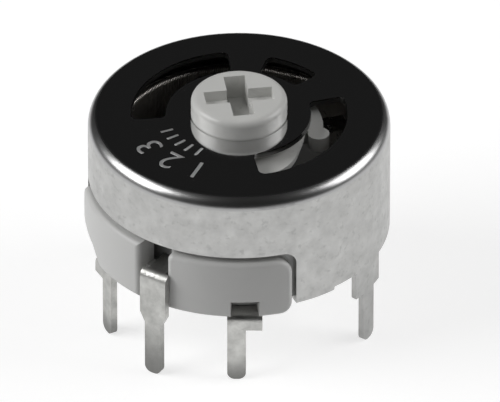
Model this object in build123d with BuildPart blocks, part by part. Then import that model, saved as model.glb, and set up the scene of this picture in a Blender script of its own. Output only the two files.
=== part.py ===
from build123d import *
import os
from math import asin, cos, degrees, radians, sin

# A metal-canned wirewound trimmer for a circuit board, in millimetres and degrees.
# Z runs up the rotor's axis. Z = 0 is the board's face, on which the terminals' shoulders stand.
# Angles are counted from +X, counter-clockwise seen from above.

# Whole part
can_radius = 9.9
body_height = 9.25            # foot of the base's walls to the can's top
stand_off = 1.25              # board to the foot of the base's walls
pin_below_board = 3.9
sheet = 0.4                   # tinned steel of the can
strip = 0.45                  # tinned brass of the terminals

# Can
shoulder_radius = 0.9
slot_corner = 0.45
slots = (                     # start angle, end angle, inner radius, outer radius
    (96.0, 186.0, 4.8, 7.1),
    (40.5, 74.0, 4.8, 6.8),
    (-79.0, 16.0, 4.7, 7.1),
)
cutout_span = (180.6, 292.2)
cutout_lift = 4.65            # foot of the walls to the can's edge above them
cutout_corner = 0.9
skirt_lift = 0.8              # foot of the walls to the can's lower edge
case_lug_angles = (329.2, 149.2)
case_lug_width = 2.9
case_pin_width = 1.3
crimp_lug_angles = (300.8, 172.0, 57.0)
crimp_lug_half_angle = 8.2
crimp_lug_reach = 1.3         # how far a lug is folded in below the floor
crimp_bend = 0.3

# Base
base_fit = 0.08               # radial gap between the base and the can
wall_proud = 0.28             # walls stand out past the can
wall_height = 4.25
wall_spans = ((182.4, 230.0), (242.3, 290.4))
wall_top_corner = 1.1
wall_gap_corner = 0.4
wall_foot_corner = 0.8
wall_edge = 0.35
rim_thickness = 0.8
rim_height = 3.6
floor_thickness = 1.5
notch_height = 1.3
notch_span = (266.85, 277.55)
foot_cut = (                  # angle, height of the far wall's edge above its foot
    (208.0, 0.0),
    (200.0, 1.15),
    (190.0, 1.5),
    (180.0, 1.7),
)
pad_half_angle = 13.0         # pads below the floor, round the end terminals' risers
pad_inner_radius = 7.2
boss_wall = 0.6
boss_height = 0.75
stop_half_angle = 14.0
stop_inner_radius = 4.9
stop_rim_gap = 0.35
stop_below_cover = 1.15

# Terminals
terminal_centre_angle = 238.0
pin_pitch = 5.08
pin_circle_radius = 9.5
wiper_pin_gap = 0.02          # wiper terminal's pin to the walls' outer face
wiper_strip_width = 1.3
wiper_shoulder_width = 1.95
pin_width = 1.22
pin_tip_radius = 0.5
shoulder_width = 2.3
strip_bend = 0.35
foot_gap = 0.05               # below the walls' foot
riser_radius = 8.12
riser_height = 4.6            # above the floor
slot_clearance = 0.06
collector_inner_gap = 0.1
collector_radius = 3.9

# Winding
card_radius = 8.1             # middle of the card
card_thickness = 0.35
wire_thickness = 0.16
card_height = 4.9
card_lift = 0.05              # wire to floor
wire_fit = 0.02               # card to wire, and to the clamps
clamp_angle = 4.4
part_gap_angle = 0.25
sleeve_overrun = 1.0          # angle by which a sleeve's hollow runs past its ends

# Rotor
knob_radius = 3.15
knob_height = 1.4             # above the can
knob_edge = 0.45
knob_fit = 0.08
washer_space = 0.6            # can to flange
flange_thickness = 0.4
flange_radius = 4.4
cam_angle = -90.0             # the flange bulges this way
cam_centre_radius = 2.3
cam_radius = 3.88
arm_start_angle = -8.0
arm_end_angle = 42.0
arm_radius = 5.5
arm_thickness = 1.0
nose_angle = -9.3             # rounded nose at the arm's near corner
nose_centre_radius = 5.27
nose_radius = 0.7
wiper_angle = 16.0
hub_radius = 2.6
spigot_radius = 1.4
spigot_fit = 0.05
end_play = 0.08
slot_turn = 8.5
slot_length = 4.5
slot_width = 1.4
deep_slot_depth = 1.7
shallow_slot_depth = 0.75

# Spring washer
washer_thickness = 0.2
washer_play = 0.03

# Wiper
spring_thickness = 0.2
spring_width = 1.4
spring_end_radius = 7.3
spring_hub_gap = 0.25
spring_foot_length = 0.6      # where the leg turns out along the collector ring
peg_radius = 0.45
peg_head_radius = 0.75
peg_head_height = 0.2
peg_centre_radius = 4.4
peg_fit = 0.04
brush_width = 0.8
brush_length = 0.8
brush_height = 0.6
contact_gap = 0.05
collector_gap = 0.04

# Sizes nearer than this count as equal when edges are picked
same_size = 0.01

# Levels
wall_foot = stand_off
can_top = wall_foot + body_height
can_roof = can_top - sheet
skirt_edge = wall_foot + skirt_lift
cutout_edge = wall_foot + cutout_lift
floor_bottom = skirt_edge
floor_top = floor_bottom + floor_thickness
boss_top = floor_top + boss_height
flange_top = can_roof - washer_space
flange_bottom = flange_top - flange_thickness
arm_top = flange_top
arm_bottom = arm_top - arm_thickness
stop_top = can_roof - stop_below_cover
knob_top = can_top + knob_height
collector_top = floor_top + strip
pin_tip = -pin_below_board
foot_strip_top = wall_foot - foot_gap

# Radii and angles that follow
can_bore_radius = can_radius - sheet
base_radius = can_bore_radius - base_fit
wall_radius = can_radius + wall_proud
rim_bore_radius = base_radius - rim_thickness
spigot_bore_radius = spigot_radius + spigot_fit
boss_radius = spigot_bore_radius + boss_wall
wiper_pin_radius = wall_radius + wiper_pin_gap + strip / 2
terminal_step = 2 * degrees(asin(pin_pitch / 2 / pin_circle_radius))
cut_depth = 2 * can_radius
riser_half_angle = degrees(asin(pin_width / 2 / riser_radius))
card_start = terminal_centre_angle + terminal_step + riser_half_angle + part_gap_angle
card_end = 360 + terminal_centre_angle - terminal_step - riser_half_angle - part_gap_angle


def draw_sector(inner, outer, start, end, mode=Mode.ADD):
    """Add a ring sector between two angles to the open sketch."""
    with BuildLine() as outline:
        outer_arc = CenterArc((0, 0), outer, start, end - start)
        inner_arc = CenterArc((0, 0), inner, start, end - start)
        Line(outer_arc @ 0, inner_arc @ 0)
        Line(outer_arc @ 1, inner_arc @ 1)
    make_face(outline.edges(), mode=mode)


def section_plane(angle):
    """Upright plane through the axis: x runs outwards, y up."""
    turn = radians(angle)
    return Plane((0, 0, 0), x_dir=(cos(turn), sin(turn), 0), z_dir=(sin(turn), -cos(turn), 0))


def front_plane(angle):
    """Upright plane facing outwards at an angle: x runs counter-clockwise, y up."""
    turn = radians(angle)
    return Plane((0, 0, 0), x_dir=(-sin(turn), cos(turn), 0), z_dir=(cos(turn), sin(turn), 0))


def plan_plane(angle):
    """Level plane at the origin: x runs outwards at an angle, y counter-clockwise."""
    turn = radians(angle)
    return Plane((0, 0, 0), x_dir=(cos(turn), sin(turn), 0), z_dir=(0, 0, 1))


def half_angle(width, radius):
    """Half the angle that a width takes up at a radius."""
    return degrees(asin(width / 2 / radius))


def radial_edges(builder):
    """Straight edges that run across a wall, not up it."""
    straight = builder.edges().filter_by(GeomType.LINE)
    return straight.filter_by(lambda edge: abs(edge.tangent_at(0.5).Z) < 0.5)


def tip_edges(builder, thickness):
    """The short edges at the very end of a pin, which run through its thickness."""
    lowest = radial_edges(builder).group_by(Axis.Z)[0]
    return lowest.filter_by(lambda edge: abs(edge.length - thickness) < same_size)


# Can: a drawn cup, upside down, with three windows in its top, a cut-out for the base's walls,
# two lugs that go through the board and three that are folded in below the base's floor
with BuildPart() as cover_can:
    with BuildSketch(Plane.XZ):
        with BuildLine():
            flat_edge = can_radius - shoulder_radius
            shoulder_centre = can_top - shoulder_radius
            Line((knob_radius + knob_fit, can_top), (flat_edge, can_top))
            CenterArc((flat_edge, shoulder_centre), shoulder_radius, 90, -90)
            Line((can_radius, shoulder_centre), (can_radius, skirt_edge))
            Line((can_radius, skirt_edge), (can_bore_radius, skirt_edge))
            Line((can_bore_radius, skirt_edge), (can_bore_radius, shoulder_centre))
            CenterArc((flat_edge, shoulder_centre), shoulder_radius - sheet, 0, 90)
            Line((flat_edge, can_roof), (knob_radius + knob_fit, can_roof))
            Line((knob_radius + knob_fit, can_roof), (knob_radius + knob_fit, can_top))
        make_face()
    revolve(axis=Axis.Z)
    for slot_start, slot_end, slot_inner, slot_outer in slots:
        with BuildSketch(Plane.XY.offset(can_top)) as slot_plan:
            draw_sector(slot_inner, slot_outer, slot_start, slot_end)
            fillet(slot_plan.vertices(), slot_corner)
        extrude(amount=-2 * sheet, mode=Mode.SUBTRACT)
    with BuildSketch(Plane.XY.offset(cutout_edge)):
        draw_sector(flat_edge, wall_radius + sheet, *cutout_span)
    extrude(amount=-cut_depth, mode=Mode.SUBTRACT)
    cutout_edges = radial_edges(cover_can).filter_by_position(
        Axis.Z, cutout_edge - same_size, cutout_edge + same_size
    )
    fillet(cutout_edges, cutout_corner)
    for lug_angle in case_lug_angles:
        lug_half = half_angle(case_lug_width, can_radius)
        pin_half = half_angle(case_pin_width, can_radius)
        with BuildSketch(Plane.XY.offset(skirt_edge)):
            draw_sector(can_bore_radius, can_radius, lug_angle - lug_half, lug_angle + lug_half)
        extrude(amount=-skirt_edge)
        with BuildSketch(Plane.XY):
            draw_sector(can_bore_radius, can_radius, lug_angle - pin_half, lug_angle + pin_half)
        extrude(amount=-pin_below_board)
    fillet(tip_edges(cover_can, sheet), pin_tip_radius)
    for lug_angle in crimp_lug_angles:
        fold_start = lug_angle - crimp_lug_half_angle
        fold_end = lug_angle + crimp_lug_half_angle
        with BuildSketch(Plane.XY.offset(skirt_edge)):
            draw_sector(can_radius - crimp_lug_reach, can_radius, fold_start, fold_end)
        extrude(amount=-sheet)
    folded_edges = cover_can.edges().filter_by(GeomType.CIRCLE).filter_by(
        lambda edge: abs(edge.center().Z - (skirt_edge - sheet)) < same_size
        and abs(edge.radius - can_radius) < same_size
    )
    fillet(folded_edges, crimp_bend)

# Base: one moulding with a raised floor, a rim inside the can, two walls that show below it,
# a boss for the rotor and a block that the wiper arm stops against
with BuildPart() as base:
    with BuildSketch(Plane.XY.offset(wall_foot)):
        for wall_start, wall_end in wall_spans:
            draw_sector(rim_bore_radius, wall_radius, wall_start, wall_end)
    extrude(amount=wall_height)
    gap_edge = radial_edges(base).group_by(Axis.Z)[-1].sort_by(Axis.X)[2]
    fillet(gap_edge, wall_gap_corner)
    top_edges = radial_edges(base).group_by(Axis.Z)[-1].sort_by(Axis.X)
    fillet((top_edges[0], top_edges[-1]), wall_top_corner)
    foot_edges = radial_edges(base).group_by(Axis.Z)[0].sort_by(Axis.X)
    fillet(foot_edges[-1], wall_foot_corner)
    outer_faces = base.faces().filter_by(GeomType.CYLINDER).filter_by(
        lambda face: abs(face.radius - wall_radius) < same_size
    )
    fillet(outer_faces.edges(), wall_edge)
    for side in (-1, 1):
        pad_angle = terminal_centre_angle + side * terminal_step
        with BuildSketch(Plane.XY.offset(wall_foot)):
            draw_sector(
                pad_inner_radius,
                base_radius - rim_thickness / 2,
                pad_angle - pad_half_angle,
                pad_angle + pad_half_angle,
            )
        extrude(amount=floor_bottom - wall_foot)
    with BuildSketch(Plane.XY.offset(floor_bottom)):
        Circle(base_radius)
    extrude(amount=floor_thickness)
    with BuildSketch(Plane.XY.offset(wall_foot)):
        draw_sector(rim_bore_radius, wall_radius + sheet, *notch_span)
    extrude(amount=notch_height, mode=Mode.SUBTRACT)
    foot_line = []
    for cut_angle, cut_rise in foot_cut:
        cut_place = wall_radius * sin(radians(cut_angle - foot_cut[0][0]))
        foot_line.append((cut_place, wall_foot + cut_rise))
    with BuildSketch(front_plane(foot_cut[0][0]).offset(rim_bore_radius - sheet)):
        with BuildLine():
            Polyline(*foot_line, (foot_line[-1][0], wall_foot), close=True)
        make_face()
    extrude(amount=wall_radius, mode=Mode.SUBTRACT)
    with BuildSketch(Plane.XY.offset(floor_top)):
        Circle(base_radius)
        Circle(rim_bore_radius, mode=Mode.SUBTRACT)
        draw_sector(
            rim_bore_radius - rim_thickness,
            wall_radius,
            wall_spans[0][1],
            wall_spans[1][0],
            mode=Mode.SUBTRACT,
        )
    extrude(amount=rim_height)
    with BuildSketch(Plane.XY.offset(floor_top)):
        draw_sector(
            stop_inner_radius,
            rim_bore_radius - stop_rim_gap,
            terminal_centre_angle - stop_half_angle,
            terminal_centre_angle + stop_half_angle,
        )
    extrude(amount=stop_top - floor_top)
    with BuildSketch(section_plane(terminal_centre_angle)):
        with Locations((collector_radius, floor_top)):
            Rectangle(
                wall_radius,
                strip + slot_clearance,
                align=(Align.MIN, Align.MIN),
            )
    extrude(amount=wiper_strip_width / 2 + slot_clearance, both=True, mode=Mode.SUBTRACT)
    with BuildSketch(Plane.XY.offset(floor_top)):
        Circle(boss_radius)
    extrude(amount=boss_height)
    with BuildSketch(Plane.XY.offset(floor_bottom)):
        Circle(spigot_bore_radius)
    extrude(amount=boss_top - floor_bottom, mode=Mode.SUBTRACT)
    for side in (-1, 1):
        riser_turn = terminal_centre_angle + side * terminal_step
        with BuildSketch(front_plane(riser_turn).offset(riser_radius)):
            with Locations((0, wall_foot)):
                Rectangle(
                    pin_width + 2 * slot_clearance,
                    floor_top - wall_foot,
                    align=(Align.CENTER, Align.MIN),
                )
        extrude(amount=strip / 2 + slot_clearance, both=True, mode=Mode.SUBTRACT)

# Winding card: a flat strip of board bent round, bare at both ends where the clamps grip it
card_foot = floor_top + card_lift + wire_thickness
card_inner = card_radius - card_thickness / 2
card_outer = card_radius + card_thickness / 2
with BuildPart() as winding_card:
    with BuildSketch(Plane.XY.offset(card_foot)):
        draw_sector(card_inner, card_outer, card_start + part_gap_angle, card_end - part_gap_angle)
    extrude(amount=card_height)


def wrap_card(start, end):
    """A closed sleeve round the card between two angles."""
    sleeve_height = card_height + 2 * wire_thickness
    with BuildPart() as sleeve:
        with BuildSketch(Plane.XY.offset(card_foot - wire_thickness)):
            draw_sector(card_inner - wire_thickness, card_outer + wire_thickness, start, end)
        extrude(amount=sleeve_height)
        with BuildSketch(Plane.XY.offset(card_foot - wire_fit)):
            draw_sector(
                card_inner - wire_fit,
                card_outer + wire_fit,
                start - sleeve_overrun,
                end + sleeve_overrun,
            )
        extrude(amount=card_height + 2 * wire_fit, mode=Mode.SUBTRACT)
    return sleeve


# Resistance wire: its turns lie side by side along the card, so they make one sleeve
wire_start = card_start + clamp_angle + part_gap_angle
wire_end = card_end - clamp_angle - part_gap_angle
resistance_wire = wrap_card(wire_start, wire_end)

# End clamps: folded over the card's ends, and soldered to the two end terminals
start_clamp = wrap_card(card_start, card_start + clamp_angle)
end_clamp = wrap_card(card_end - clamp_angle, card_end)


def end_terminal_strip(side):
    """A strip with a pin, a shoulder, a foot below the floor and a riser through it."""
    turn = terminal_centre_angle + side * terminal_step
    foot_level = foot_strip_top - strip / 2
    with BuildPart() as terminal:
        with BuildSketch(section_plane(turn)):
            with BuildLine() as bend_line:
                FilletPolyline(
                    (pin_circle_radius, pin_tip),
                    (pin_circle_radius, foot_level),
                    (riser_radius, foot_level),
                    (riser_radius, floor_top + riser_height),
                    radius=strip_bend,
                )
            trace(line_width=strip)
        extrude(amount=shoulder_width, both=True)
        half = pin_width / 2
        outer = side * (shoulder_width - half)
        with BuildSketch(front_plane(turn)):
            with BuildLine():
                Polyline(
                    (-side * half, pin_tip),
                    (side * half, pin_tip),
                    (side * half, 0),
                    (outer, 0),
                    (outer, wall_foot),
                    (side * half, wall_foot),
                    (side * half, floor_top + riser_height),
                    (-side * half, floor_top + riser_height),
                    close=True,
                )
            make_face()
        extrude(amount=can_radius + strip, mode=Mode.INTERSECT)
        fillet(tip_edges(terminal, strip), pin_tip_radius)
    return terminal


start_terminal = end_terminal_strip(1)
end_terminal = end_terminal_strip(-1)

# Wiper terminal: a ring round the boss, a strip out through the gap between the walls, and a pin
with BuildPart() as wiper_terminal:
    with BuildSketch(section_plane(terminal_centre_angle)):
        with BuildLine():
            FilletPolyline(
                (wiper_pin_radius, pin_tip),
                (wiper_pin_radius, floor_top + strip / 2),
                (collector_radius - strip, floor_top + strip / 2),
                radius=strip_bend,
            )
        trace(line_width=strip)
    extrude(amount=wiper_shoulder_width / 2, both=True)
    with BuildSketch(front_plane(terminal_centre_angle)):
        with BuildLine():
            taper = wiper_shoulder_width - pin_width
            Polyline(
                (-pin_width / 2, pin_tip),
                (pin_width / 2, pin_tip),
                (pin_width / 2, 0),
                (wiper_shoulder_width / 2, taper),
                (wiper_shoulder_width / 2, collector_top),
                (-wiper_shoulder_width / 2, collector_top),
                (-wiper_shoulder_width / 2, taper),
                (-pin_width / 2, 0),
                close=True,
            )
        make_face()
    extrude(amount=can_radius + 2 * strip, mode=Mode.INTERSECT)
    with BuildSketch(plan_plane(terminal_centre_angle).offset(pin_tip)):
        Rectangle(can_radius, wiper_strip_width, align=(Align.MIN, Align.CENTER))
        with Locations((wall_radius + wiper_pin_gap / 2, 0)):
            Rectangle(can_radius, wiper_shoulder_width, align=(Align.MIN, Align.CENTER))
        with Locations((can_radius - sheet, 0)):
            Rectangle(2 * sheet, wiper_strip_width, align=(Align.MIN, Align.CENTER))
    extrude(amount=can_top, mode=Mode.INTERSECT)
    fillet(tip_edges(wiper_terminal, strip), pin_tip_radius)
    with BuildSketch(Plane.XY.offset(floor_top)):
        Circle(collector_radius)
    extrude(amount=strip)
    with BuildSketch(Plane.XY.offset(floor_top)):
        Circle(boss_radius + collector_inner_gap)
    extrude(amount=strip, mode=Mode.SUBTRACT)

# Spring washer: dished, between the can and the rotor's flange
washer_foot = flange_top + washer_play
washer_rise = washer_space - 2 * washer_play - washer_thickness
washer_inner = knob_radius + knob_fit
with BuildPart() as spring_washer:
    with BuildSketch(Plane.XZ):
        with BuildLine():
            Polyline(
                (washer_inner, washer_foot),
                (flange_radius, washer_foot + washer_rise),
                (flange_radius, washer_foot + washer_rise + washer_thickness),
                (washer_inner, washer_foot + washer_thickness),
                close=True,
            )
        make_face()
    revolve(axis=Axis.Z)

# Rotor: one moulding with the knob, its crossed slots, a cam-shaped flange that shows in the
# can's window, the arm that carries the wiper, the hub and the spigot that turns in the base
spring_top = arm_bottom
with BuildPart() as rotor:
    with BuildSketch(Plane.XY.offset(floor_bottom + end_play)):
        Circle(spigot_radius)
    extrude(amount=floor_top - floor_bottom)
    with BuildSketch(Plane.XY.offset(boss_top + end_play)):
        Circle(hub_radius)
    extrude(amount=flange_bottom - boss_top)
    with BuildSketch(Plane.XY.offset(floor_top)):
        Circle(spigot_radius)
    extrude(amount=boss_height + 2 * end_play)
    with BuildSketch(Plane.XY.offset(flange_bottom)):
        with BuildLine():
            CenterArc((0, 0), flange_radius, 0, 360)
            cam_turn = radians(cam_angle)
            cam_centre = (cam_centre_radius * cos(cam_turn), cam_centre_radius * sin(cam_turn))
            CenterArc(cam_centre, cam_radius, 0, 360)
        make_hull()
    extrude(amount=flange_thickness)
    with BuildSketch(Plane.XY.offset(flange_top)):
        Circle(knob_radius)
    extrude(amount=knob_top - flange_top)
    fillet(rotor.edges().group_by(Axis.Z)[-1], knob_edge)
    with BuildSketch(Plane.XY.offset(arm_bottom)):
        draw_sector(hub_radius - strip, arm_radius, arm_start_angle, arm_end_angle)
        nose_turn = radians(nose_angle)
        nose_place = (nose_centre_radius * cos(nose_turn), nose_centre_radius * sin(nose_turn))
        with Locations(nose_place):
            Circle(nose_radius)
    extrude(amount=arm_thickness)
    for depth, turn in ((shallow_slot_depth, slot_turn), (deep_slot_depth, slot_turn + 90)):
        with BuildSketch(Plane.XY.offset(knob_top)):
            Rectangle(slot_length, slot_width, rotation=turn)
        extrude(amount=-depth, mode=Mode.SUBTRACT)
    peg_foot = spring_top - spring_thickness - peg_fit - peg_head_height
    peg_turn = radians(wiper_angle)
    peg_place = (peg_centre_radius * cos(peg_turn), peg_centre_radius * sin(peg_turn))
    with BuildSketch(Plane.XY.offset(peg_foot)):
        with Locations(peg_place):
            Circle(peg_radius)
    extrude(amount=arm_bottom - peg_foot)
    with BuildSketch(Plane.XY.offset(peg_foot)):
        with Locations(peg_place):
            Circle(peg_head_radius)
    extrude(amount=peg_head_height)

# Wiper spring: staked below the arm, with a leg that rides on the collector ring
with BuildPart() as wiper_spring:
    spring_level = spring_top - spring_thickness / 2
    leg_radius = hub_radius + spring_hub_gap + spring_thickness / 2
    foot_level = collector_top + collector_gap + spring_thickness / 2
    with BuildSketch(section_plane(wiper_angle)):
        with BuildLine():
            FilletPolyline(
                (spring_end_radius, spring_level),
                (leg_radius, spring_level),
                (leg_radius, foot_level),
                (leg_radius + spring_foot_length, foot_level),
                radius=spring_thickness,
            )
        trace(line_width=spring_thickness)
    extrude(amount=spring_width / 2, both=True)
    with BuildSketch(Plane.XY.offset(spring_top)):
        with Locations(peg_place):
            Circle(peg_radius + peg_fit)
    extrude(amount=-spring_thickness, mode=Mode.SUBTRACT)

# Contact brush: on the spring's end, facing the inside of the winding
with BuildPart() as contact_brush:
    brush_face = card_inner - wire_thickness - contact_gap
    brush_half = half_angle(brush_width, brush_face)
    with BuildSketch(Plane.XY.offset(spring_top - spring_thickness)):
        draw_sector(
            brush_face - brush_length,
            brush_face,
            wiper_angle - brush_half,
            wiper_angle + brush_half,
        )
    extrude(amount=-brush_height)

pieces = {
    "cover_can": cover_can,
    "base": base,
    "winding_card": winding_card,
    "resistance_wire": resistance_wire,
    "start_clamp": start_clamp,
    "end_clamp": end_clamp,
    "start_terminal": start_terminal,
    "end_terminal": end_terminal,
    "wiper_terminal": wiper_terminal,
    "spring_washer": spring_washer,
    "rotor": rotor,
    "wiper_spring": wiper_spring,
    "contact_brush": contact_brush,
}
os.makedirs("parts", exist_ok=True)
for name, piece in pieces.items():
    piece.part.label = name
    export_step(piece.part, f"parts/{name}.step")
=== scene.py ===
"""Looks of a metal-canned wirewound trimmer, laid out as an add-on and run as a script."""

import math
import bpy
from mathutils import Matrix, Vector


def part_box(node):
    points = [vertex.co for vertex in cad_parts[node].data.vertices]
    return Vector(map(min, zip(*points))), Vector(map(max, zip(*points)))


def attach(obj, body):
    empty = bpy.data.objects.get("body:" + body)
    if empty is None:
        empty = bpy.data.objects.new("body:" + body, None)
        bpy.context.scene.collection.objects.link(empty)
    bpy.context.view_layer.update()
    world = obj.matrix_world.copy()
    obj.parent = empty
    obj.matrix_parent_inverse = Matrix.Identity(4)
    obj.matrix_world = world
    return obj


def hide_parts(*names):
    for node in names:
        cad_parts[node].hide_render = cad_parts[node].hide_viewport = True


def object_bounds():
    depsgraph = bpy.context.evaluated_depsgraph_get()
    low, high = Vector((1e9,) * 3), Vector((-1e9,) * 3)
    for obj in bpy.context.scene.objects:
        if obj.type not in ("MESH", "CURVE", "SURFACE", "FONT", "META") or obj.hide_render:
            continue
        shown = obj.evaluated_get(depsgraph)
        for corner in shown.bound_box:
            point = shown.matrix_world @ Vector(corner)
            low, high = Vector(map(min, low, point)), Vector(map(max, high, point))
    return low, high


bl_info = {
    "name": "Wirewound Trimmer Looks",
    "version": (1, 0, 0),
    "blender": (4, 5, 0),
    "location": "View3D > Sidebar > Trimmer",
    "description": "Finishes, winding, dial marks and stage for a wirewound trimmer",
    "category": "Object",
}

import bmesh
import bpy
from bpy.props import FloatProperty, FloatVectorProperty, IntProperty, PointerProperty
from mathutils import Matrix, Vector

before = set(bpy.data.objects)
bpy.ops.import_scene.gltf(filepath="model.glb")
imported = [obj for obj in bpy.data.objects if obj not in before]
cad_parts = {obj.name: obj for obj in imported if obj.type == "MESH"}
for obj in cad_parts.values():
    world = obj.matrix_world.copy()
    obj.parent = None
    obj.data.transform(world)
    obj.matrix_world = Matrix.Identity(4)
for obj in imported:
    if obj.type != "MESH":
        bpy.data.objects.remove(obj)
cad_low, cad_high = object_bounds()

MM = 0.001
CAN_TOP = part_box("cover_can")[1].z
WIRE_LOW, WIRE_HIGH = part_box("resistance_wire")
FLOOR_LEVEL = cad_low.z

TERMINAL_CENTRE = math.radians(238.0)
INNER_RADIUS = 8.62 * MM        # inside the base's rim
WINDOW_REACH = 8 * MM           # all the can's windows lie within this radius
BLEND_WIDTH = 0.01 * MM

NUMBERS = "123"
NUMBER_SIZE = 2.6 * MM
NUMBER_RADIUS = 6.9 * MM
NUMBER_STEP = math.radians(17)
STROKE_COUNT = 5
STROKE_SIZE = (0.85 * MM, 0.16 * MM)
STROKE_RADIUS = 5.1 * MM
STROKE_STEP = math.radians(9)
MARKS_ANGLE = math.radians(230)

FLOOR_RADIUS = 60 * MM
LAMP_DISTANCE = 300 * MM
LEFT_LAMP_SIZE = (0.22, 0.20)
RIGHT_LAMP_SIZE = (0.22, 0.18)
RIGHT_SHARE = 0.7               # the right lamp's power against the left's
AIM_OFFSET = Vector((0.714 * MM, 0, 0))
AIM_DROP = 5.74 * MM


# ---------------------------------------------------------------- settings


class TrimmerFinish(bpy.types.PropertyGroup):
    """Colours and surface sizes of the trimmer's finishes."""

    tin_colour: FloatVectorProperty(
        name="Tin",
        description="Colour of the tinned steel can",
        subtype="COLOR",
        size=3,
        min=0,
        max=1,
        default=(0.54, 0.54, 0.53),
    )
    tin_roughness: FloatProperty(
        name="Can side roughness",
        description="Roughness of the can's satin side",
        default=0.42,
        min=0,
        max=1,
        subtype="FACTOR",
    )
    top_colour: FloatVectorProperty(
        name="Polished top",
        description="Colour of the can's polished top and shoulder",
        subtype="COLOR",
        size=3,
        min=0,
        max=1,
        default=(0.70, 0.70, 0.70),
    )
    top_roughness: FloatProperty(
        name="Top roughness",
        description="Roughness of the can's polished top",
        default=0.07,
        min=0,
        max=1,
        subtype="FACTOR",
    )
    base_colour: FloatVectorProperty(
        name="Base plastic",
        description="Colour of the base moulding",
        subtype="COLOR",
        size=3,
        min=0,
        max=1,
        default=(0.60, 0.60, 0.59),
    )
    rotor_colour: FloatVectorProperty(
        name="Rotor plastic",
        description="Colour of the rotor moulding",
        subtype="COLOR",
        size=3,
        min=0,
        max=1,
        default=(0.66, 0.66, 0.64),
    )
    pin_colour: FloatVectorProperty(
        name="Pins",
        description="Colour of the tinned terminals",
        subtype="COLOR",
        size=3,
        min=0,
        max=1,
        default=(0.58, 0.58, 0.56),
    )
    wire_colour: FloatVectorProperty(
        name="Wire",
        description="Colour of the resistance wire",
        subtype="COLOR",
        size=3,
        min=0,
        max=1,
        default=(0.50, 0.48, 0.45),
    )


class TrimmerSizes(bpy.types.PropertyGroup):
    """Sizes of the pieces that are modelled here."""

    turns: IntProperty(
        name="Turns",
        description="Turns of resistance wire along the card",
        default=300,
        min=20,
        max=600,
    )
    wire_radius: FloatProperty(
        name="Wire radius",
        description="Radius of the resistance wire",
        default=0.055 * MM,
        min=0.01 * MM,
        max=0.1 * MM,
        subtype="DISTANCE",
        unit="LENGTH",
    )
    mark_thickness: FloatProperty(
        name="Mark thickness",
        description="How far the dial marks stand on the can's top",
        default=0.012 * MM,
        min=0.002 * MM,
        max=0.05 * MM,
        subtype="DISTANCE",
        unit="LENGTH",
    )


class TrimmerStage(bpy.types.PropertyGroup):
    """Camera and light of the stage."""

    elevation: FloatProperty(
        name="Elevation",
        description="Angle of the camera above the board",
        default=math.radians(35.14),
        min=0,
        max=math.pi / 2,
        subtype="ANGLE",
        unit="ROTATION",
    )
    distance: FloatProperty(
        name="Distance",
        description="Camera to the object",
        default=1.0,
        min=0.2,
        max=5,
        subtype="DISTANCE",
        unit="LENGTH",
    )
    view_width: FloatProperty(
        name="View width",
        description="Width of the view at the object",
        default=32.68 * MM,
        min=10 * MM,
        max=200 * MM,
        subtype="DISTANCE",
        unit="LENGTH",
    )
    lamp_power: FloatProperty(
        name="Lamp power",
        description="Power of the key lamp",
        default=0.68,
        min=0,
        max=10,
        subtype="POWER",
        unit="POWER",
    )


def finish():
    """The finishes' settings."""
    return bpy.context.scene.trimmer_finish


def sizes():
    """The modelled pieces' settings."""
    return bpy.context.scene.trimmer_sizes


# ---------------------------------------------------------------- node helpers


def add_socket(group, name, direction, kind, default=None, low=None, high=None):
    """A named input or output on a node group."""
    socket = group.interface.new_socket(name=name, in_out=direction, socket_type=kind)
    if default is not None:
        socket.default_value = default
    if low is not None:
        socket.min_value = low
        socket.max_value = high
    return socket


def new_node(tree, kind, place, **values):
    """A node at a place, with its properties set."""
    node = tree.nodes.new(kind)
    node.location = place
    for name, value in values.items():
        setattr(node, name, value)
    return node


def set_inputs(node, **values):
    """Values for a node's unlinked inputs, named with underscores for spaces."""
    for name, value in values.items():
        node.inputs[name.replace("_", " ")].default_value = value


def make_group(name):
    """An empty shader group with its ends placed."""
    group = bpy.data.node_groups.new(name, "ShaderNodeTree")
    start = new_node(group, "NodeGroupInput", (-900, 0))
    end = new_node(group, "NodeGroupOutput", (700, 0))
    return group, start, end


def use_group(tree, group, place):
    """A shared effect placed in a material."""
    node = tree.nodes.new("ShaderNodeGroup")
    node.node_tree = group
    node.location = place
    return node


def new_material(name):
    """A material, with its node tree and its Principled shader."""
    material = bpy.data.materials.new(name)
    material.use_nodes = True
    tree = material.node_tree
    shader = tree.nodes["Principled BSDF"]
    return material, tree, shader


# ---------------------------------------------------------------- shared effects


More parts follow.
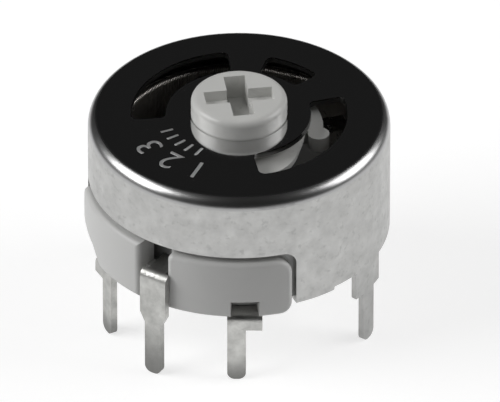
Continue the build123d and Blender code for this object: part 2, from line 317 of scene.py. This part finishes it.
def mottle_group():
    """Soft blotches and small dark pits, as on dip-tinned sheet."""
    group, start, end = make_group("Tin Mottle")
    add_socket(group, "Vector", "INPUT", "NodeSocketVector")
    add_socket(group, "Blotch Scale", "INPUT", "NodeSocketFloat", 1500.0, 1, 1e6)
    add_socket(group, "Pit Scale", "INPUT", "NodeSocketFloat", 3500.0, 1, 1e6)
    add_socket(group, "Tone", "OUTPUT", "NodeSocketFloat")
    add_socket(group, "Pits", "OUTPUT", "NodeSocketFloat")
    add_socket(group, "Height", "OUTPUT", "NodeSocketFloat")
    blotch = new_node(group, "ShaderNodeTexNoise", (-600, 200))
    set_inputs(blotch, Detail=4.0, Roughness=0.62)
    pits = new_node(group, "ShaderNodeTexNoise", (-600, -150))
    set_inputs(pits, Detail=2.0, Roughness=0.5)
    link = group.links.new
    for noise, scale in ((blotch, "Blotch Scale"), (pits, "Pit Scale")):
        link(start.outputs["Vector"], noise.inputs["Vector"])
        link(start.outputs[scale], noise.inputs["Scale"])
    sharp = new_node(group, "ShaderNodeMapRange", (-300, -150))
    set_inputs(sharp, From_Min=0.27, From_Max=0.42, To_Min=1.0, To_Max=0.0)
    link(pits.outputs["Fac"], sharp.inputs["Value"])
    spread = new_node(group, "ShaderNodeMapRange", (-300, 200))
    set_inputs(spread, From_Min=0.3, From_Max=0.7)
    link(blotch.outputs["Fac"], spread.inputs["Value"])
    height = new_node(group, "ShaderNodeMath", (0, 0), operation="SUBTRACT")
    link(spread.outputs["Result"], height.inputs[0])
    link(sharp.outputs["Result"], height.inputs[1])
    link(spread.outputs["Result"], end.inputs["Tone"])
    link(sharp.outputs["Result"], end.inputs["Pits"])
    link(height.outputs["Value"], end.inputs["Height"])
    return group


def grain_group():
    """Fine even grain of a moulding, with slow flow marks."""
    group, start, end = make_group("Moulded Grain")
    add_socket(group, "Vector", "INPUT", "NodeSocketVector")
    add_socket(group, "Grain Scale", "INPUT", "NodeSocketFloat", 9000.0, 1, 1e6)
    add_socket(group, "Flow Scale", "INPUT", "NodeSocketFloat", 400.0, 1, 1e6)
    add_socket(group, "Tone", "OUTPUT", "NodeSocketFloat")
    add_socket(group, "Height", "OUTPUT", "NodeSocketFloat")
    grain = new_node(group, "ShaderNodeTexNoise", (-600, 150))
    set_inputs(grain, Detail=3.0, Roughness=0.6)
    flow = new_node(group, "ShaderNodeTexNoise", (-600, -150))
    set_inputs(flow, Detail=2.0, Distortion=0.8)
    link = group.links.new
    for noise, scale in ((grain, "Grain Scale"), (flow, "Flow Scale")):
        link(start.outputs["Vector"], noise.inputs["Vector"])
        link(start.outputs[scale], noise.inputs["Scale"])
    link(flow.outputs["Fac"], end.inputs["Tone"])
    link(grain.outputs["Fac"], end.inputs["Height"])
    return group


def coordinates(tree):
    """The node that gives Object coordinates."""
    return new_node(tree, "ShaderNodeTexCoord", (-1300, 0))


def mix_colours(tree, factor, first, second, place):
    """A colour mix; each end is a colour or a socket."""
    mix = new_node(tree, "ShaderNodeMix", place, data_type="RGBA")
    tree.links.new(factor, mix.inputs["Factor"])
    for index, value in ((6, first), (7, second)):
        if isinstance(value, bpy.types.NodeSocket):
            tree.links.new(value, mix.inputs[index])
        else:
            mix.inputs[index].default_value = (*value[:3], 1)
    return mix.outputs[2]


def map_value(tree, value, low, high, to_low, to_high, place, smooth=False):
    """A value carried from one range to another."""
    node = new_node(tree, "ShaderNodeMapRange", place)
    if smooth:
        node.interpolation_type = "SMOOTHSTEP"
    set_inputs(node, From_Min=low, From_Max=high, To_Min=to_low, To_Max=to_high)
    tree.links.new(value, node.inputs["Value"])
    return node.outputs["Result"]


def add_bump(tree, shader, height, strength, distance):
    """Fine relief on the shader's normal."""
    bump = new_node(tree, "ShaderNodeBump", (-300, -400))
    set_inputs(bump, Strength=strength, Distance=distance)
    tree.links.new(height, bump.inputs["Height"])
    tree.links.new(bump.outputs["Normal"], shader.inputs["Normal"])


def darker(colour, share):
    """A share of a colour."""
    return tuple(channel * share for channel in colour)


def product(tree, first, second, place):
    """Two values multiplied."""
    node = new_node(tree, "ShaderNodeMath", place, operation="MULTIPLY")
    tree.links.new(first, node.inputs[0])
    tree.links.new(second, node.inputs[1])
    return node.outputs["Value"]


def inside_mask(tree, where, radius, low, high, place):
    """One within a radius of the axis and between two levels, else nothing."""
    left, top = place
    flat = new_node(tree, "ShaderNodeVectorMath", (left, top), operation="MULTIPLY")
    flat.inputs[1].default_value = (1, 1, 0)
    tree.links.new(where, flat.inputs[0])
    reach = new_node(tree, "ShaderNodeVectorMath", (left + 180, top), operation="LENGTH")
    tree.links.new(flat.outputs["Vector"], reach.inputs[0])
    near = map_value(
        tree, reach.outputs["Value"], radius, radius + 5 * BLEND_WIDTH, 1, 0, (left + 360, top)
    )
    split = new_node(tree, "ShaderNodeSeparateXYZ", (left, top - 200))
    tree.links.new(where, split.inputs["Vector"])
    over = map_value(
        tree, split.outputs["Z"], low - 2 * BLEND_WIDTH, low, 0, 1, (left + 180, top - 200)
    )
    under = map_value(
        tree, split.outputs["Z"], high, high + BLEND_WIDTH, 1, 0, (left + 180, top - 400)
    )
    band = product(tree, over, under, (left + 540, top - 300))
    return product(tree, near, band, (left + 700, top))


# ---------------------------------------------------------------- finishes


def tin_finish(mottle):
    """The can: satin tinned side, polished top and shoulder, with painted shade on the shoulder,
    towards the foot and in the windows.
    """
    look = finish()
    material, tree, shader = new_material("Tinned Steel")
    link = tree.links.new
    place = coordinates(tree)
    blotch = use_group(tree, mottle, (-1000, 200))
    set_inputs(blotch, Blotch_Scale=1000.0, Pit_Scale=2400.0)
    link(place.outputs["Object"], blotch.inputs["Vector"])
    split = new_node(tree, "ShaderNodeSeparateXYZ", (-1000, -200))
    link(place.outputs["Object"], split.inputs["Vector"])
    shine = map_value(
        tree, split.outputs["Z"], CAN_TOP - 0.95 * MM, CAN_TOP - 0.8 * MM, 0, 1, (-750, -200), True
    )
    tin = look.tin_colour
    side = mix_colours(tree, blotch.outputs["Tone"], darker(tin, 0.86), tin, (-700, 300))
    side = mix_colours(tree, blotch.outputs["Pits"], side, darker(tin, 0.78), (-500, 300))
    # Painted shade: the shoulder below the flat top takes 0.62 of the polished colour to dim its
    # highlights, and the flat top keeps the full colour.
    shoulder_shade_mask = map_value(
        tree, split.outputs["Z"], CAN_TOP - 0.10 * MM, CAN_TOP - 0.01 * MM, 0, 1, (-650, -350)
    )
    bright = mix_colours(tree, shoulder_shade_mask, darker(look.top_colour, 0.62), look.top_colour, (-450, 500))
    colour = mix_colours(tree, shine, side, bright, (-250, 300))
    # Painted shade: the can darkens towards its foot over the lowest 7 mm, half way to 0.42 of the
    # tin at the floor.
    foot_shade = map_value(
        tree, split.outputs["Z"], FLOOR_LEVEL, FLOOR_LEVEL + 7 * MM, 0.5, 1, (-650, -550)
    )
    colour = mix_colours(tree, foot_shade, darker(tin, 0.42), colour, (-150, 500))
    # Painted shade: within WINDOW_REACH and down to 1 mm under the top, the windows' cut faces and
    # the top's underside are darkened to 0.35 of the tin.
    window_shade = inside_mask(
        tree,
        place.outputs["Object"],
        WINDOW_REACH,
        CAN_TOP - 1 * MM,
        CAN_TOP - 2 * BLEND_WIDTH,
        (-1000, 900),
    )
    colour = mix_colours(tree, window_shade, colour, darker(tin, 0.35), (-50, 300))
    link(colour, shader.inputs["Base Color"])
    rough_side = map_value(
        tree, blotch.outputs["Tone"], 0, 1, look.tin_roughness + 0.06, look.tin_roughness - 0.06,
        (-700, 50),
    )
    rough = new_node(tree, "ShaderNodeMix", (-250, 0), data_type="FLOAT")
    link(shine, rough.inputs[0])
    link(rough_side, rough.inputs[2])
    rim = map_value(
        tree, split.outputs["Z"], CAN_TOP - 0.12 * MM, CAN_TOP - 0.01 * MM, 0.30, look.top_roughness,
        (-450, -100),
    )
    link(rim, rough.inputs[3])
    link(rough.outputs[0], shader.inputs["Roughness"])
    matte = new_node(tree, "ShaderNodeMath", (-500, -400), operation="SUBTRACT")
    matte.inputs[0].default_value = 1.0
    link(shine, matte.inputs[1])
    relief = new_node(tree, "ShaderNodeMath", (-400, -500), operation="MULTIPLY")
    link(matte.outputs["Value"], relief.inputs[0])
    link(blotch.outputs["Height"], relief.inputs[1])
    add_bump(tree, shader, relief.outputs["Value"], 0.25, 0.02 * MM)
    shader.inputs["Metallic"].default_value = 1.0
    return material


def plastic_finish(grain, name, colour, roughness, shaded=None):
    """A moulded plastic with fine grain; painted shade may darken what lies inside the can."""
    material, tree, shader = new_material(name)
    link = tree.links.new
    place = coordinates(tree)
    skin = use_group(tree, grain, (-1000, 100))
    link(place.outputs["Object"], skin.inputs["Vector"])
    tone = mix_colours(tree, skin.outputs["Tone"], darker(colour, 0.94), colour, (-500, 200))
    if shaded is not None:
        # Painted shade: inside the given radius and between the given levels, the plastic is darkened
        # to 0.3 of its colour.
        inner = inside_mask(tree, place.outputs["Object"], *shaded, (-1300, 700))
        tone = mix_colours(tree, inner, tone, darker(colour, 0.3), (-250, 200))
    link(tone, shader.inputs["Base Color"])
    rough = map_value(
        tree, skin.outputs["Tone"], 0.3, 0.7, roughness - 0.05, roughness + 0.05, (-500, 0)
    )
    link(rough, shader.inputs["Roughness"])
    add_bump(tree, shader, skin.outputs["Height"], 0.25, 0.01 * MM)
    return material


def pin_finish(mottle, name, worn_height):
    """Tinned terminals, duller and darker towards their tips."""
    look = finish()
    material, tree, shader = new_material(name)
    link = tree.links.new
    place = coordinates(tree)
    blotch = use_group(tree, mottle, (-1000, 200))
    set_inputs(blotch, Blotch_Scale=1100.0, Pit_Scale=2600.0)
    link(place.outputs["Object"], blotch.inputs["Vector"])
    split = new_node(tree, "ShaderNodeSeparateXYZ", (-1000, -200))
    link(place.outputs["Object"], split.inputs["Vector"])
    worn = map_value(
        tree, split.outputs["Z"], FLOOR_LEVEL, FLOOR_LEVEL + worn_height, 1, 0, (-750, -200), True
    )
    pin = look.pin_colour
    tone = mix_colours(tree, blotch.outputs["Tone"], darker(pin, 0.7), pin, (-700, 300))
    colour = mix_colours(tree, worn, tone, darker(pin, 0.35), (-400, 300))
    link(colour, shader.inputs["Base Color"])
    rough = map_value(tree, blotch.outputs["Tone"], 0, 1, 0.5, 0.34, (-500, 0))
    link(rough, shader.inputs["Roughness"])
    add_bump(tree, shader, blotch.outputs["Height"], 0.4, 0.03 * MM)
    shader.inputs["Metallic"].default_value = 1.0
    return material


def metal_finish(mottle, name, colour, roughness):
    """Plain bright spring strip or wire."""
    material, tree, shader = new_material(name)
    link = tree.links.new
    place = coordinates(tree)
    blotch = use_group(tree, mottle, (-1000, 200))
    link(place.outputs["Object"], blotch.inputs["Vector"])
    tone = mix_colours(tree, blotch.outputs["Tone"], darker(colour, 0.85), colour, (-500, 200))
    link(tone, shader.inputs["Base Color"])
    rough = map_value(
        tree, blotch.outputs["Tone"], 0, 1, roughness + 0.06, roughness - 0.04, (-500, 0)
    )
    link(rough, shader.inputs["Roughness"])
    shader.inputs["Metallic"].default_value = 1.0
    return material


# ---------------------------------------------------------------- pieces


def paint(node_name, material):
    """Give a CAD node its finish."""
    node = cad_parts[node_name]
    node.data.materials.clear()
    node.data.materials.append(material)


def add_piece(name, bm, material, body="housing"):
    """Turn a bmesh into a piece that rides on a body."""
    bmesh.ops.recalc_face_normals(bm, faces=bm.faces)
    mesh = bpy.data.meshes.new(name)
    bm.to_mesh(mesh)
    bm.free()
    mesh.shade_smooth()
    piece = bpy.data.objects.new(name, mesh)
    bpy.context.scene.collection.objects.link(piece)
    mesh.materials.append(material)
    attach(piece, body)
    return piece


def polar_span(node_name, gap_angle):
    """Inner and outer radius of a ring-shaped node, and its two ends counted from its gap."""
    points = [vertex.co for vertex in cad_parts[node_name].data.vertices]
    radii = [math.hypot(point.x, point.y) for point in points]
    turns = [(math.atan2(point.y, point.x) - gap_angle) % math.tau for point in points]
    return min(radii), max(radii), min(turns) + gap_angle, max(turns) + gap_angle


def wire_turn(inner, outer, low, high, wire_radius):
    """One closed turn of wire, in the plane through the axis at angle zero."""
    middle = (inner + outer) / 2
    bend = (outer - inner) / 2 - wire_radius
    bm = bmesh.new()
    section = bmesh.ops.create_circle(bm, segments=6, radius=wire_radius)["verts"]
    bmesh.ops.translate(bm, verts=section, vec=(middle + bend, 0, low + bend + wire_radius))
    straight = high - low - 2 * (bend + wire_radius)
    edges = list(bm.edges)
    for pivot, step in ((high - bend - wire_radius, straight), (low + bend + wire_radius, -straight)):
        grown = bmesh.ops.extrude_edge_only(bm, edges=edges)["geom"]
        moved = [item for item in grown if isinstance(item, bmesh.types.BMVert)]
        bmesh.ops.translate(bm, verts=moved, vec=(0, 0, step))
        turned = bmesh.ops.spin(
            bm,
            geom=[item for item in grown if isinstance(item, bmesh.types.BMEdge)],
            cent=(middle, 0, pivot),
            axis=(0, -1, 0),
            angle=math.pi,
            steps=4,
        )["geom_last"]
        edges = [item for item in turned if isinstance(item, bmesh.types.BMEdge)]
    bmesh.ops.remove_doubles(bm, verts=bm.verts, dist=wire_radius / 50)
    return bm


class TRIMMER_OT_winding(bpy.types.Operator):
    """Wind the resistance wire round the card, turn by turn"""

    bl_idname = "trimmer.winding"
    bl_label = "Winding"

    def execute(self, context):
        count = sizes().turns
        wire_radius = sizes().wire_radius
        inner, outer, start, end = polar_span("resistance_wire", TERMINAL_CENTRE)
        pattern = wire_turn(inner, outer, WIRE_LOW.z, WIRE_HIGH.z, wire_radius)
        one_turn = bpy.data.meshes.new("One Turn")
        pattern.to_mesh(one_turn)
        pattern.free()
        bm = bmesh.new()
        margin = wire_radius / inner
        for index in range(count):
            share = index / (count - 1)
            angle = start + margin + share * (end - start - 2 * margin)
            before = len(bm.verts)
            bm.from_mesh(one_turn)
            bm.verts.ensure_lookup_table()
            bmesh.ops.rotate(
                bm,
                verts=bm.verts[before:],
                cent=(0, 0, 0),
                matrix=Matrix.Rotation(angle, 3, "Z"),
            )
        bpy.data.meshes.remove(one_turn)
        winding = add_piece("wire_turns", bm, bpy.data.materials["Resistance Wire"])
        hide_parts("resistance_wire")
        return {"FINISHED"}


class TRIMMER_OT_finishes(bpy.types.Operator):
    """Build the finishes and give every CAD piece its own"""

    bl_idname = "trimmer.finishes"
    bl_label = "Finishes"

    def execute(self, context):
        look = finish()
        mottle = mottle_group()
        grain = grain_group()
        tin = tin_finish(mottle)
        pins = pin_finish(mottle, "Tinned Brass", 2.4 * MM)
        soldered = pin_finish(mottle, "Soldered Brass", 5.0 * MM)
        # Radius and levels of the painted shade on the base inside the can.
        inside = (INNER_RADIUS, WIRE_LOW.z - 0.08 * MM, CAN_TOP)
        base = plastic_finish(grain, "Base Plastic", look.base_colour, 0.45, inside)
        rotor = plastic_finish(grain, "Rotor Plastic", look.rotor_colour, 0.32)
        card = plastic_finish(grain, "Card Board", (0.20, 0.15, 0.10), 0.6)
        spring = metal_finish(mottle, "Spring Metal", (0.42, 0.41, 0.38), 0.28)
        metal_finish(mottle, "Resistance Wire", look.wire_colour, 0.3)
        paint("cover_can", tin)
        paint("base", base)
        paint("rotor", rotor)
        paint("winding_card", card)
        for name in ("start_terminal", "end_terminal", "start_clamp", "end_clamp"):
            paint(name, pins)
        paint("wiper_terminal", soldered)
        for name in ("spring_washer", "wiper_spring", "contact_brush"):
            paint(name, spring)
        return {"FINISHED"}


class TRIMMER_OT_dial_marks(bpy.types.Operator):
    """Set plain dial numbers and strokes on the can's top"""

    bl_idname = "trimmer.dial_marks"
    bl_label = "Dial Marks"

    def execute(self, context):
        bm = bmesh.new()
        height = sizes().mark_thickness
        for index, number in enumerate(NUMBERS):
            turn = MARKS_ANGLE + NUMBER_STEP * (1 - index)
            text = bpy.data.curves.new("Number", "FONT")
            text.body = number
            text.size = NUMBER_SIZE
            text.align_x = "CENTER"
            text.align_y = "CENTER"
            text.extrude = height / 2
            text.offset = -0.02 * MM
            holder = bpy.data.objects.new("Number", text)
            context.scene.collection.objects.link(holder)
            context.view_layer.update()
            mesh = bpy.data.meshes.new_from_object(
                holder.evaluated_get(context.evaluated_depsgraph_get())
            )
            spot = Vector((math.cos(turn), math.sin(turn), 0)) * NUMBER_RADIUS
            spot.z = CAN_TOP + height / 2
            mesh.transform(Matrix.Translation(spot) @ Matrix.Rotation(turn - math.pi / 2, 4, "Z"))
            bm.from_mesh(mesh)
            bpy.data.objects.remove(holder)
            bpy.data.curves.remove(text)
            bpy.data.meshes.remove(mesh)
        for index in range(STROKE_COUNT):
            turn = MARKS_ANGLE + STROKE_STEP * (index - 3)
            stroke = bmesh.ops.create_cube(bm, size=1)["verts"]
            bmesh.ops.scale(bm, verts=stroke, vec=(*STROKE_SIZE, height))
            spot = Vector((math.cos(turn), math.sin(turn), 0)) * STROKE_RADIUS
            spot.z = CAN_TOP + height / 2
            bmesh.ops.transform(
                bm, verts=stroke, matrix=Matrix.Translation(spot) @ Matrix.Rotation(turn, 4, "Z")
            )
        bmesh.ops.remove_doubles(bm, verts=bm.verts, dist=0.0005 * MM)
        marks, _, shader = new_material("Stamped Marks")
        shader.inputs["Metallic"].default_value = 1.0
        shader.inputs["Roughness"].default_value = 0.6
        shader.inputs["Base Color"].default_value = (0.8, 0.8, 0.8, 1)
        piece = add_piece("dial_marks", bm, marks)
        piece.data.shade_flat()
        return {"FINISHED"}


def add_lamp(name, place, aim, width, height, power):
    """A soft rectangular lamp that faces a point."""
    data = bpy.data.lights.new(name, "AREA")
    data.shape = "RECTANGLE"
    data.size = width
    data.size_y = height
    data.energy = power
    lamp = bpy.data.objects.new(name, data)
    lamp.location = place
    lamp.rotation_euler = (Vector(aim) - Vector(place)).to_track_quat("-Z", "Y").to_euler()
    bpy.context.scene.collection.objects.link(lamp)
    return lamp


def compass(azimuth, elevation, distance):
    """A place around the object, in degrees from +X and above the board."""
    turn, rise = math.radians(azimuth), math.radians(elevation)
    level = distance * math.cos(rise)
    return Vector((level * math.cos(turn), level * math.sin(turn), distance * math.sin(rise)))


class TRIMMER_OT_stage(bpy.types.Operator):
    """Set the floor, the lamps, the surroundings and the camera"""

    bl_idname = "trimmer.stage"
    bl_label = "Stage"

    def execute(self, context):
        settings = context.scene.trimmer_stage
        self.build_floor(context)
        self.build_world(context)
        middle = (cad_low + cad_high) / 2
        left = compass(186, 33, LAMP_DISTANCE)
        right = compass(6, 29, LAMP_DISTANCE)
        add_lamp("Left Lamp", left, middle, *LEFT_LAMP_SIZE, settings.lamp_power)
        add_lamp("Right Lamp", right, middle, *RIGHT_LAMP_SIZE, RIGHT_SHARE * settings.lamp_power)
        self.build_camera(context, settings)
        context.scene.view_settings.view_transform = "Standard"
        return {"FINISHED"}

    def build_floor(self, context):
        """A pale disc that shows white and keeps the object's shadow."""
        bm = bmesh.new()
        bmesh.ops.create_circle(bm, cap_ends=True, segments=96, radius=FLOOR_RADIUS)
        bmesh.ops.translate(bm, verts=bm.verts, vec=(0, 0, FLOOR_LEVEL - 0.01 * MM))
        mesh = bpy.data.meshes.new("Floor")
        bm.to_mesh(mesh)
        bm.free()
        floor = bpy.data.objects.new("Floor", mesh)
        context.scene.collection.objects.link(floor)
        material, tree, shader = new_material("Pale Floor")
        shader.inputs["Roughness"].default_value = 0.95
        shader.inputs["Emission Strength"].default_value = 1.0
        rays = new_node(tree, "ShaderNodeLightPath", (-900, 0))
        shown = new_node(tree, "ShaderNodeMath", (-700, 0), operation="MAXIMUM")
        tree.links.new(rays.outputs["Is Camera Ray"], shown.inputs[0])
        tree.links.new(rays.outputs["Is Glossy Ray"], shown.inputs[1])
        share = shown.outputs["Value"]
        paper = mix_colours(tree, share, (0.82, 0.82, 0.82), (0.45, 0.45, 0.45), (-400, 200))
        white = mix_colours(tree, share, (0, 0, 0), (0.70, 0.70, 0.70), (-400, -100))
        tree.links.new(paper, shader.inputs["Base Color"])
        tree.links.new(white, shader.inputs["Emission Color"])
        mesh.materials.append(material)

    def build_world(self, context):
        """Soft light all round, white behind the object and dark above it in reflections."""
        world = bpy.data.worlds.new("Studio")
        context.scene.world = world
        world.use_nodes = True
        tree = world.node_tree
        tree.nodes.clear()
        link = tree.links.new
        place = new_node(tree, "ShaderNodeTexCoord", (-900, 0))
        split = new_node(tree, "ShaderNodeSeparateXYZ", (-700, 0))
        link(place.outputs["Generated"], split.inputs["Vector"])
        low_light = map_value(tree, split.outputs["Z"], -0.17, -0.06, 0.64, 0.014, (-500, 0), True)
        rays = new_node(tree, "ShaderNodeLightPath", (-500, 300))
        seen = new_node(tree, "ShaderNodeMix", (-200, 100), data_type="FLOAT")
        link(rays.outputs["Is Glossy Ray"], seen.inputs[0])
        seen.inputs[2].default_value = 0.115
        link(low_light, seen.inputs[3])
        shown = new_node(tree, "ShaderNodeMix", (0, 100), data_type="FLOAT")
        link(rays.outputs["Is Camera Ray"], shown.inputs[0])
        link(seen.outputs[0], shown.inputs[2])
        shown.inputs[3].default_value = 1.0
        back = new_node(tree, "ShaderNodeBackground", (200, 0))
        back.inputs["Color"].default_value = (1, 1, 1, 1)
        link(shown.outputs[0], back.inputs["Strength"])
        out = new_node(tree, "ShaderNodeOutputWorld", (400, 0))
        link(back.outputs["Background"], out.inputs["Surface"])

    def build_camera(self, context, settings):
        """A long lens in front of the object, looking down at it."""
        data = bpy.data.cameras.new("Camera")
        data.sensor_width = 36.0
        data.lens = data.sensor_width * settings.distance / settings.view_width
        data.clip_start = 0.01
        data.clip_end = 10.0
        data.dof.use_dof = False
        camera = bpy.data.objects.new("Camera", data)
        up = Vector((0, math.sin(settings.elevation), math.cos(settings.elevation)))
        aim = Vector((0, 0, CAN_TOP)) + AIM_OFFSET - up * AIM_DROP
        camera.location = aim + compass(270, math.degrees(settings.elevation), settings.distance)
        camera.rotation_euler = (math.pi / 2 - settings.elevation, 0, 0)
        context.scene.collection.objects.link(camera)
        context.scene.camera = camera


class TRIMMER_PT_panel(bpy.types.Panel):
    """Buttons and settings of the trimmer"""

    bl_idname = "TRIMMER_PT_panel"
    bl_label = "Wirewound Trimmer"
    bl_space_type = "VIEW_3D"
    bl_region_type = "UI"
    bl_category = "Trimmer"

    def draw(self, context):
        """Every setting, and a button for each operator."""
        layout = self.layout
        for group in (
            context.scene.trimmer_finish,
            context.scene.trimmer_sizes,
            context.scene.trimmer_stage,
        ):
            box = layout.box()
            for name in group.__annotations__:
                box.prop(group, name)
        for operator in OPERATORS:
            layout.operator(operator.bl_idname)


OPERATORS = (
    TRIMMER_OT_finishes,
    TRIMMER_OT_winding,
    TRIMMER_OT_dial_marks,
    TRIMMER_OT_stage,
)
CLASSES = (TrimmerFinish, TrimmerSizes, TrimmerStage, *OPERATORS, TRIMMER_PT_panel)


def register():
    """Add the classes and the scene's settings."""
    for kind in CLASSES:
        bpy.utils.register_class(kind)
    bpy.types.Scene.trimmer_finish = PointerProperty(type=TrimmerFinish)
    bpy.types.Scene.trimmer_sizes = PointerProperty(type=TrimmerSizes)
    bpy.types.Scene.trimmer_stage = PointerProperty(type=TrimmerStage)


def unregister():
    """Take the scene's settings and the classes away."""
    del bpy.types.Scene.trimmer_stage
    del bpy.types.Scene.trimmer_sizes
    del bpy.types.Scene.trimmer_finish
    for kind in reversed(CLASSES):
        bpy.utils.unregister_class(kind)


def main():
    """Run every operator."""
    register()
    bpy.ops.trimmer.finishes()
    bpy.ops.trimmer.winding()
    bpy.ops.trimmer.dial_marks()
    bpy.ops.trimmer.stage()


if __name__ == "__main__":
    main()
